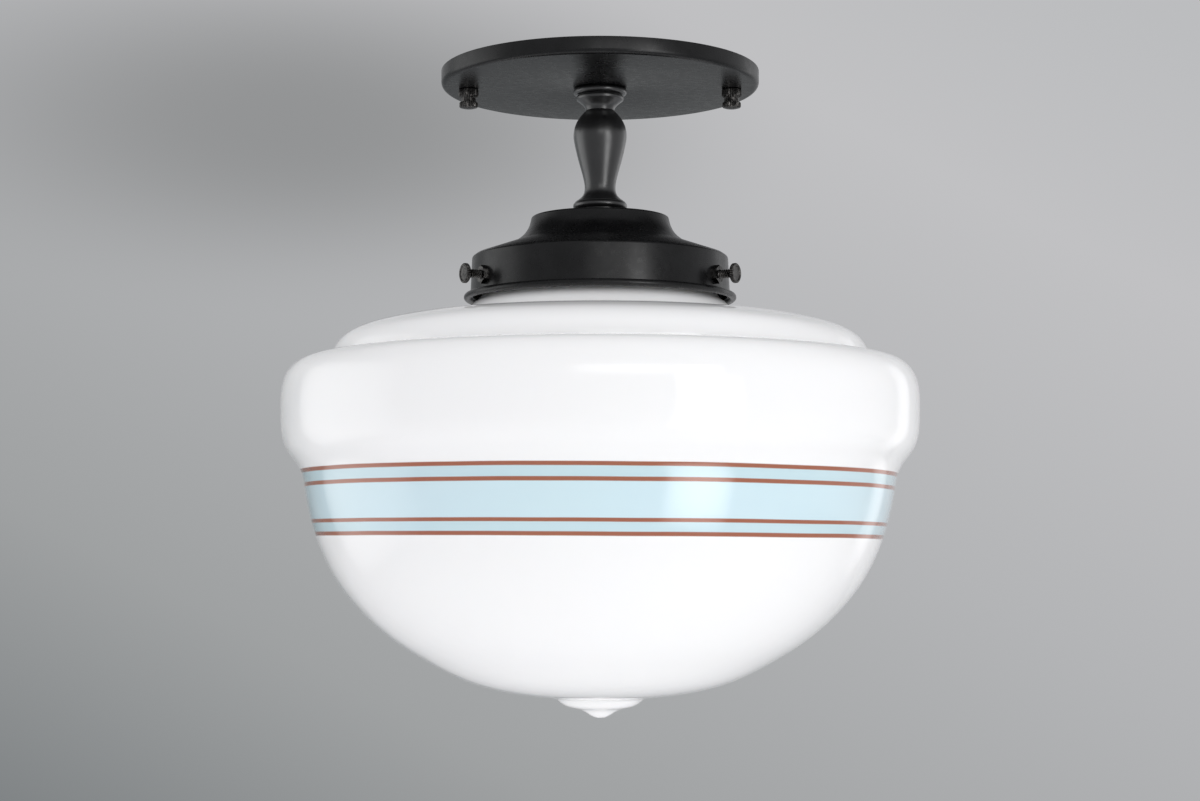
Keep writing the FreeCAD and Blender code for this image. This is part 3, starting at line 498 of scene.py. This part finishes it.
def stops(ramp, places):
    """Fills a colour ramp from (position, hex colour) pairs."""
    elements = ramp.color_ramp.elements
    while len(elements) < len(places):
        elements.new(0.5)
    for element, (position, colour) in zip(elements, places):
        element.position, element.color = position, linear(colour)


def grain(tree, vector, size_mm, depth_mm, shader, detail=2.0, stretch=(1, 1, 1)):
    """Bump of a noise whose features are about size_mm wide and depth_mm deep. A stretch under 1
    along an axis draws the pattern out along it."""
    spread = add(tree, "Mapping", {"Vector": vector, "Scale": stretch})
    noise = add(tree, "TexNoise", {"Vector": spread.outputs[0], "Scale": 1000 / size_mm,
                                   "Detail": detail})
    bump = add(tree, "Bump", {"Height": noise.outputs[0], "Strength": 1.0,
                              "Distance": depth_mm * MM})
    tree.links.new(bump.outputs[0], shader.inputs["Normal"])


def mottle(tree, vector, size_mm, low, high, shader, socket, detail=3.0):
    """A soft blotchy mix of two values or two hex colours, with patches about size_mm wide."""
    noise = add(tree, "TexNoise", {"Vector": vector, "Scale": 1000 / size_mm, "Detail": detail})
    if isinstance(low, str):
        ramp = add(tree, "ValToRGB", {"Fac": noise.outputs[0]})
        stops(ramp, [(0.32, low), (0.68, high)])
        out = ramp.outputs[0]
    else:
        out = add(tree, "MapRange", {"Value": noise.outputs[0], "From Min": 0.3, "From Max": 0.7,
                                     "To Min": low, "To Max": high}).outputs[0]
    tree.links.new(out, shader.inputs[socket])
    return out


# %% [markdown]
# ### Satin black powder coat
# The canopy and the holder are powder coated steel. The powder melts into a skin with a faint
# orange peel, about 0.7 mm from bump to bump and a few microns deep, which breaks up the
# reflections of the lamps into a soft satin glow. A filled powder reflects like an IOR of 1.45.

# %% Satin black powder coat
powder_coat, tree, shader, where = finish("satin_black_powder_coat", IOR=1.45)
mottle(tree, where, 6, "#09090a", "#111112", shader, "Base Color")
mottle(tree, where, 2.5, 0.25, 0.33, shader, "Roughness")
grain(tree, where, 0.7, 0.006, shader)

# %% [markdown]
# The ring and the stem were turned from bar and sprayed, so they are smoother and glossier: black
# lacquer under a clear coat, which draws a narrow bright line down the stem inside a broad one.

# %% Black lacquer
lacquer, tree, shader, where = finish("semi_gloss_black_lacquer", IOR=1.65, Coat_Weight=1.0,
                                      Coat_Roughness=0.27)
mottle(tree, where, 8, "#0e0e0f", "#161617", shader, "Base Color")
mottle(tree, where, 3, 0.32, 0.42, shader, "Roughness")
grain(tree, where, 1.2, 0.003, shader)

# %% [markdown]
# ### Black oxide
# Screws and cap nuts are steel blackened in a hot salt bath. The skin is thin, so it still looks
# like a dark metal, and fingers wear it to a lighter grey in patches of a millimetre or less.

# %% Black oxide
black_oxide, tree, shader, where = finish("black_oxide_steel", Metallic=1.0)
mottle(tree, where, 0.8, "#2f2e2e", "#686664", shader, "Base Color", 4)
mottle(tree, where, 0.6, 0.2, 0.34, shader, "Roughness")
grain(tree, where, 0.25, 0.004, shader)

# %% [markdown]
# ### Zinc plate, brass and turned aluminium
# The hidden hardware has the usual plating. Zinc on rolled strip keeps the fine lines of the
# rolling mill along its length, so its noise is stretched along X. Turned aluminium keeps the
# rings of the lathe tool, and pressed brass is smooth with a warm tarnish in soft patches.

# %% Plain metals
zinc, tree, shader, where = finish("bright_zinc_plate", Metallic=1.0)
mottle(tree, where, 5, "#b4b8ba", "#cfd1cf", shader, "Base Color")
mottle(tree, where, 1.5, 0.26, 0.4, shader, "Roughness")
grain(tree, where, 0.6, 0.006, shader, stretch=(0.04, 1, 1))

brass, tree, shader, where = finish("pressed_brass", Metallic=1.0)
mottle(tree, where, 4, "#b8924a", "#d9b76c", shader, "Base Color")
mottle(tree, where, 2, 0.2, 0.36, shader, "Roughness")
grain(tree, where, 0.5, 0.003, shader)

aluminium, tree, shader, where = finish("turned_aluminium", Metallic=1.0)
mottle(tree, where, 6, "#c9cacc", "#dcdcdb", shader, "Base Color")
mottle(tree, where, 2, 0.24, 0.34, shader, "Roughness")
# The rings of the wave texture lie 2 pi / 20 / scale metres apart: 0.5 mm at a scale of 600.
rings = add(tree, "TexWave", {"Vector": where, "Scale": 600.0, "Distortion": 0.4},
            wave_type="RINGS", rings_direction="Z")
cut = add(tree, "Bump", {"Height": rings.outputs[1], "Strength": 1.0, "Distance": 0.004 * MM})
tree.links.new(cut.outputs[0], shader.inputs["Normal"])

green_zinc, tree, shader, where = finish("green_dyed_zinc", Metallic=1.0)
mottle(tree, where, 1.2, "#1f6b3a", "#3f9a5c", shader, "Base Color")
mottle(tree, where, 1, 0.25, 0.38, shader, "Roughness")
grain(tree, where, 0.4, 0.004, shader)

# %% [markdown]
# ### Porcelain and frosted glass
# The lamp socket is slip cast porcelain under a clear glaze: nearly white, glossy, with a very
# slight unevenness where the glaze ran. The bulb is etched inside, which scatters light without
# roughening the outer face, so it gets a rough transmission under a smooth coat.

# %% Porcelain and bulb
porcelain, tree, shader, where = finish("glazed_porcelain", IOR=1.52, Coat_Weight=1.0,
                                        Coat_Roughness=0.04)
mottle(tree, where, 5, "#e9e5da", "#f3f1ea", shader, "Base Color")
mottle(tree, where, 3, 0.16, 0.26, shader, "Roughness")
grain(tree, where, 6, 0.05, shader)

frosted, tree, shader, where = finish("inside_frosted_glass", IOR=1.5, Coat_Weight=1.0,
                                      Coat_Roughness=0.03, Transmission_Weight=0.45)
mottle(tree, where, 8, "#e8e9e6", "#f5f5f1", shader, "Base Color")
mottle(tree, where, 1.5, 0.45, 0.6, shader, "Roughness")
grain(tree, where, 0.8, 0.01, shader)

lamp_base_metal, tree, shader, where = finish("nickel_plated_lamp_base", Metallic=1.0)
mottle(tree, where, 3, "#b9b3a6", "#d2cec3", shader, "Base Color")
mottle(tree, where, 1.5, 0.2, 0.34, shader, "Roughness")
grain(tree, where, 0.7, 0.005, shader)

# %% [markdown]
# The tip of the bulb is a bead of solder in a disc of black glass. Both are in one solid, so the
# distance from the axis chooses between them: bright metal inside 4.8 mm and black glass outside.

# %% Lamp tip
lamp_tip, tree, shader, where = finish("solder_tip_in_black_glass")
flat = add(tree, "VectorMath", {0: where, 1: (1, 1, 0)}, operation="MULTIPLY")
from_axis = add(tree, "VectorMath", {0: flat.outputs[0]}, operation="LENGTH").outputs["Value"]
solder = add(tree, "MapRange", {"Value": from_axis, "From Min": 4.9 * MM,
                                "From Max": 4.7 * MM}).outputs[0]
speck = add(tree, "TexNoise", {"Vector": where, "Scale": 900.0})
tone = add(tree, "Mix", {"Factor": solder, "A": linear("#0d0c10"), "B": linear("#bdbab2")},
           data_type="RGBA")
tree.links.new(tone.outputs["Result"], shader.inputs["Base Color"])
tree.links.new(solder, shader.inputs["Metallic"])
rough = add(tree, "MapRange", {"Value": speck.outputs[0], "To Min": 0.15, "To Max": 0.4})
tree.links.new(rough.outputs[0], shader.inputs["Roughness"])

# %% [markdown]
# ### Banded opal glass
# Opal glass is milky right through: light enters, scatters and comes back out, so shadows on it
# are soft. The surface is fire polished, with an IOR of 1.5 and hardly any roughness. The
# decoration is hand banded on a turning wheel: thin copper brown lines with pale blue enamel
# between them, fired on. The bands follow the height, so a ramp on height draws them. A slow noise
# pushes the brush up and down by about a tenth of a millimetre, the wheel ran a third of a degree
# out of true, and a second noise varies the tone a little. Enamel is soft lead glass that melts to
# a thick gloss, so the bands get a full clear coat.

# %% Banded opal glass
opal, tree, shader, where = finish("banded_opal_glass", IOR=1.5, Coat_Roughness=0.05,
                                   Subsurface_Weight=0.25, Subsurface_Scale=0.004,
                                   Subsurface_Radius=(1.0, 0.95, 0.9))
wheel_tilt, wander, bands_foot, bands_height = 0.0061, 0.5, -192.0, 36.0
axes = add(tree, "SeparateXYZ", {0: where}).outputs
tilted = add(tree, "Math", {0: axes["X"], 1: wheel_tilt, 2: axes["Z"]}, operation="MULTIPLY_ADD")
hand = add(tree, "TexNoise", {"Vector": where, "Scale": 1000 / 55.0, "Detail": 1.0})
brush = add(tree, "Math", {0: hand.outputs[0], 1: wander * MM, 2: tilted.outputs[0]},
            operation="MULTIPLY_ADD")
# The noise lies round 0.5, so it lifts the brush by half the wander, and the range follows.
lift = wander / 2
level = add(tree, "MapRange", {"Value": brush.outputs[0], "From Min": (bands_foot + lift) * MM,
                               "From Max": (bands_foot + lift + bands_height) * MM})

# %% [markdown]
# Each line is given by the height of its middle and its width. Its full colour fills 0.72 of the
# width, and the rest blends into the glass or the enamel above and below it. A second ramp tells
# the painted height from the bare glass, and sets how rough and how thickly coated each is.

# %% Lines and enamel
LINES = [(-161.1, 1.7), (-166.3, 1.75), (-180.3, 1.6), (-185.1, 1.75)]
GLASS_WHITE, PALE_BLUE, BAND_BLUE, COPPER = "#f7f7f7", "#cae1e8", "#d2e8f0", "#a4644c"
fills = [GLASS_WHITE, PALE_BLUE, BAND_BLUE, PALE_BLUE, GLASS_WHITE]
places = []
for (height, width), above, under in zip(LINES, fills, fills[1:]):
    for offset, colour in ((0.5, above), (0.36, COPPER), (-0.36, COPPER), (-0.5, under)):
        places.append((height + offset * width, colour))
bands = add(tree, "ValToRGB", {"Fac": level.outputs[0]})
stops(bands, [((z - bands_foot) / bands_height, colour) for z, colour in reversed(places)])
warm = add(tree, "TexNoise", {"Vector": where, "Scale": 1000 / 70.0, "Detail": 1.0})
shade_tone = add(tree, "Mix", {"Factor": 0.05, "A": bands.outputs[0], "B": warm.outputs["Color"]},
                 data_type="RGBA", blend_type="SOFT_LIGHT")
tree.links.new(shade_tone.outputs["Result"], shader.inputs["Base Color"])

enamel_foot, enamel_top, blend = 0.17, 0.877, 0.005
painted = add(tree, "ValToRGB", {"Fac": level.outputs[0]})
stops(painted, [(enamel_foot - blend, "#000000"), (enamel_foot + blend, "#ffffff"),
                (enamel_top - blend, "#ffffff"), (enamel_top + blend, "#000000")])
for socket, bare, enamel in (("Roughness", 0.05, 0.12), ("Coat Weight", 0.35, 1.0)):
    sheen = add(tree, "MapRange", {"Value": painted.outputs[0], "To Min": bare, "To Max": enamel})
    tree.links.new(sheen.outputs[0], shader.inputs[socket])
grain(tree, where, 45, 0.06, shader, 1.0)
print("bands from %.1f to %.1f mm" % (places[-1][0], places[0][0]))

# %% [markdown]
# ## Dressing the bodies
# Each made piece takes the place of its solid and rides on the same body, so it moves with the
# joints. Solids whose own shape is right only get a finish.

# %% Pieces, bodies and finishes
dressing = [(canopy, "fixture", ["canopy"], "black_metal", powder_coat),
            (check_ring, "fixture", ["check_ring"], "black_metal", lacquer),
            (stem, "fixture", ["stem"], "black_metal", lacquer),
            (holder, "fixture", ["shade_holder"], "black_metal", powder_coat),
            (shade, "fixture", ["glass_shade"], "opal_glass", opal),
            (upper_pipe, "fixture", ["upper_nipple"], "zinc_steel", zinc),
            (lower_pipe, "fixture", ["lower_nipple"], "zinc_steel", zinc),
            (bulb_glass, "bulb", ["bulb_glass"], "frosted_glass", frosted),
            (bulb_base, "bulb", ["bulb_base"], "zinc_steel", lamp_base_metal)]
for side, nut in nuts.items():
    dressing.append((nut, "cap_nut_" + side, ["cap_nut_" + side], "black_metal", black_oxide))
for side, (shank, head) in screws.items():
    for piece, part, body in ((shank, "shank", "thumb_screw_%s_advance" % side),
                              (head, "head", "thumb_screw_%s" % side)):
        solids = ["thumb_screw_%s_%s" % (part, side)]
        dressing.append((piece, body, solids, "black_metal", black_oxide))
for stud in studs:
    dressing.append((stud, "ceiling_bracket", ["canopy_studs"], "zinc_steel", zinc))
for piece, body, solids, slot, material in dressing:
    piece.data.materials.clear()
    piece.data.materials.append(material)
    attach(piece, body)
    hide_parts(*solids)

kept = {"crossbar": zinc, "stud_lock_nuts": zinc, "upper_lock_washer": zinc,
        "upper_lock_nut": zinc, "lower_lock_washer": zinc, "lower_lock_nut": zinc,
        "earth_screw": green_zinc, "screw_nuts": black_oxide, "socket_cap": aluminium,
        "socket_body": porcelain, "socket_screws": brass, "screw_shell": brass,
        "centre_contact": brass, "bulb_tip": lamp_tip}
for name, material in kept.items():
    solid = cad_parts[name]
    solid.data.materials.clear()
    solid.data.materials.append(material)
print("dressed:", len(dressing), "pieces and", len(kept), "solids")

# %% [markdown]
# ## Camera
# The photograph looks slightly up at the light from 85 cm, level with the middle of the bowl. The
# flattening of the two ellipses of canopy and holder gave the distance and the tilt. The lens
# follows from the width of the picture: 64.5 mm on a 36 mm frame.

# %% Camera
camera_tilt = 0.0695
lens = bpy.data.cameras.new("camera")
lens.sensor_width, lens.lens, lens.shift_x = 36.0, 64.5, -0.0001
lens.clip_start, lens.clip_end = 0.02, 60.0
camera = bpy.data.objects.new("camera", lens)
camera.location = (0.0, -0.8513, -0.1908)
camera.rotation_euler = (np.pi / 2 + camera_tilt, 0.0, 0.0)
bpy.context.scene.collection.objects.link(camera)
bpy.context.scene.camera = camera
print("camera tilted up by %.1f degrees" % np.degrees(camera_tilt))

# %% [markdown]
# ## Lamps
# A softbox to the right of the camera gives the bright patch on the bowl, and a small one over it
# the soft line on the holder's band. A wide, shallow one over the camera lights the canopy's wall.
# A large one fills from the left, and a narrow one behind on the right draws the bright edge. A
# last one lies on the floor and helps it to throw light back up. The cloth of a real softbox is
# brightest in its middle, and a lamp that copies this leaves no hard edge in its reflection.

# %% Lamps
light_middle = np.array([0, 0, -0.14])


def softbox(name, azimuth, elevation, distance, width, height, power):
    """Area lamp on a sphere round the light's middle. Azimuth 0 is at the front and grows to the
    right, and the lamp faces the middle: its -Z axis points along the way back. With u and v from
    0 to 1 over the cloth, the strength is u (1 - u) v (1 - v) to the power 0.6, times 9.22, which
    makes its average 1."""
    a, e = np.radians(azimuth), np.radians(elevation)
    way = np.array([np.sin(a) * np.cos(e), -np.cos(a) * np.cos(e), np.sin(e)])
    lamp = bpy.data.lights.new(name, "AREA")
    lamp.shape, lamp.size, lamp.size_y, lamp.energy = "RECTANGLE", width, height, power
    lamp.use_nodes = True
    cloth = lamp.node_tree
    place = add(cloth, "NewGeometry").outputs["Parametric"]
    rest = add(cloth, "VectorMath", {0: (1, 1, 1), 1: place}, operation="SUBTRACT")
    bulge = add(cloth, "VectorMath", {0: place, 1: rest.outputs[0]}, operation="MULTIPLY")
    across, up = add(cloth, "SeparateXYZ", {0: bulge.outputs[0]}).outputs[:2]
    both = add(cloth, "Math", {0: across, 1: up}, operation="MULTIPLY")
    curve = add(cloth, "Math", {0: both.outputs[0], 1: 0.6}, operation="POWER")
    glow = add(cloth, "Math", {0: curve.outputs[0], 1: 9.22}, operation="MULTIPLY")
    cloth.links.new(glow.outputs[0], cloth.nodes["Emission"].inputs["Strength"])
    box = bpy.data.objects.new(name, lamp)
    box.location = way * distance + light_middle
    box.rotation_euler = (np.pi / 2 - e, 0, a)
    box.visible_camera = False
    bpy.context.scene.collection.objects.link(box)
    print("%-16s %4.2f by %4.2f m, %4.2f W" % (name, width, height, power))
    return box


# Azimuth and elevation in degrees, distance, width and height in metres, and power in watts.
softbox("key_softbox", 36.5, -12, 1.35, 0.6, 1.1, 3.3)
softbox("holder_softbox", 33, 11, 1.35, 0.4, 0.45, 1.3)
softbox("front_strip", 8, 16, 1.35, 0.9, 0.3, 0.8)
softbox("left_softbox", -101, 0, 1.6, 1.7, 1.8, 5.6)
softbox("edge_strip", 131, 0, 1.4, 0.35, 1.2, 0.45)
softbox("floor_glow", 0, -90, 1.14, 3.1, 3.1, 6.2).visible_glossy = False

# %% [markdown]
# ## Floor
# A plain painted floor lies well below the light. The paint is pale, and throws pale light back up
# at the glass, but a camera exposed for the white glass sees it as a mid grey. Light Path tells
# the rays that show the floor from the rays that light the room, so each kind gets its own colour.


# %% Floor
def seen_rays(tree):
    """1 for rays that show a background: from the camera, or reflected or passed on to it."""
    path = add(tree, "LightPath").outputs
    seen = path["Is Camera Ray"]
    for kind in ("Is Transmission Ray", "Is Glossy Ray"):
        seen = add(tree, "Math", {0: seen, 1: path[kind]}, operation="MAXIMUM").outputs[0]
    return seen


floor_height, floor_radius, floor_sides = -1.3, 4, 96
floor_angle = np.linspace(0, 2 * np.pi, floor_sides, endpoint=False)
floor_edge = np.stack([floor_radius * np.cos(floor_angle), floor_radius * np.sin(floor_angle),
                       np.full(floor_sides, floor_height)], 1)
floor_mesh = bpy.data.meshes.new("floor")
floor_mesh.from_pydata(floor_edge.tolist(), [], [list(range(floor_sides))])
floor = bpy.data.objects.new("floor", floor_mesh)
bpy.context.scene.collection.objects.link(floor)

paint, tree, shader, where = finish("pale_floor_paint", Roughness=0.7)
bounce = mottle(tree, where, 120, "#f0f0f1", "#f6f6f6", shader, "Base Color")
pale = add(tree, "Mix", {"Factor": seen_rays(tree), "A": bounce, "B": linear("#9a9c9e")},
           data_type="RGBA")
tree.links.new(pale.outputs["Result"], shader.inputs["Base Color"])
floor.data.materials.append(paint)

# %% [markdown]
# ## World
# The world shows a grey wall with painted light, lighter to the right and upwards, and the
# canopy's soft shadow painted on it, and a darker room overhead that the black metal reflects.
# Behind the camera it is an even grey. Rays that light the room meet a pale fill instead, which is
# stronger from above.

# %% The grey wall and its shadow
world = bpy.data.worlds.new("studio_grey")
world.use_nodes = True
bpy.context.scene.world = world
tree = world.node_tree
tree.nodes.clear()
way = add(tree, "TexCoord").outputs["Generated"]
axes = add(tree, "SeparateXYZ", {0: way}).outputs
# The grey follows 0.5 + 0.75 x + 1.35 z of the direction, as painted light on the wall.
sideways = add(tree, "Math", {0: axes["X"], 1: 0.75, 2: 0.5}, operation="MULTIPLY_ADD")
rise = add(tree, "Math", {0: axes["Z"], 1: 1.35, 2: sideways.outputs[0]}, operation="MULTIPLY_ADD")
grey = add(tree, "ValToRGB", {"Fac": rise.outputs[0]})
stops(grey, [(0.12, "#7a7e80"), (0.33, "#9fa1a2"), (0.6, "#b3b4b6"), (0.85, "#c1c1c3"),
             (1.0, "#bcbdbf")])
# The shadow is an oval of directions, about 0.26 wide and 0.1 high to each side of its centre.
shadow_centre, shadow_scale = (-0.14, 0.97, 0.195), (1 / 0.26, 0.6, 1 / 0.1)
aside = add(tree, "VectorMath", {0: way, 1: shadow_centre}, operation="SUBTRACT")
oval = add(tree, "VectorMath", {0: aside.outputs[0], 1: shadow_scale}, operation="MULTIPLY")
away = add(tree, "VectorMath", {0: oval.outputs[0]}, operation="LENGTH").outputs["Value"]
shadow = add(tree, "MapRange", {"Value": away, "To Min": 0.9, "To Max": 0.0},
             interpolation_type="SMOOTHERSTEP")

# %% Overhead, behind the camera, and the fill
overhead = add(tree, "MapRange", {"Value": axes["Z"], "From Min": 0.3, "From Max": 0.6})
behind = add(tree, "MapRange", {"Value": axes["Y"], "From Min": 0.1, "From Max": -0.4})
view = grey.outputs[0]
for share, colour in ((shadow, "#8e8f90"), (overhead, "#2c2d2e"), (behind, "#9c9d9f")):
    view = add(tree, "Mix", {"Factor": share.outputs[0], "A": view, "B": linear(colour)},
               data_type="RGBA").outputs["Result"]
shown = add(tree, "Background", {"Color": view, "Strength": 1.0})
from_above = add(tree, "MapRange", {"Value": axes["Z"], "From Min": 0.0, "From Max": 0.8,
                                    "To Min": 0.57, "To Max": 1.04})
fill = add(tree, "Background", {"Color": linear("#fdfdff"), "Strength": from_above.outputs[0]})
either = add(tree, "MixShader", {0: seen_rays(tree), 1: fill.outputs[0], 2: shown.outputs[0]})
add(tree, "OutputWorld", {"Surface": either.outputs[0]})
print("world:", len(tree.nodes), "nodes")

# %% [markdown]
# ## Colour view
# The Standard view shows each colour as it is written, without a film curve.

# %% Colour view
bpy.context.scene.view_settings.view_transform = "Standard"
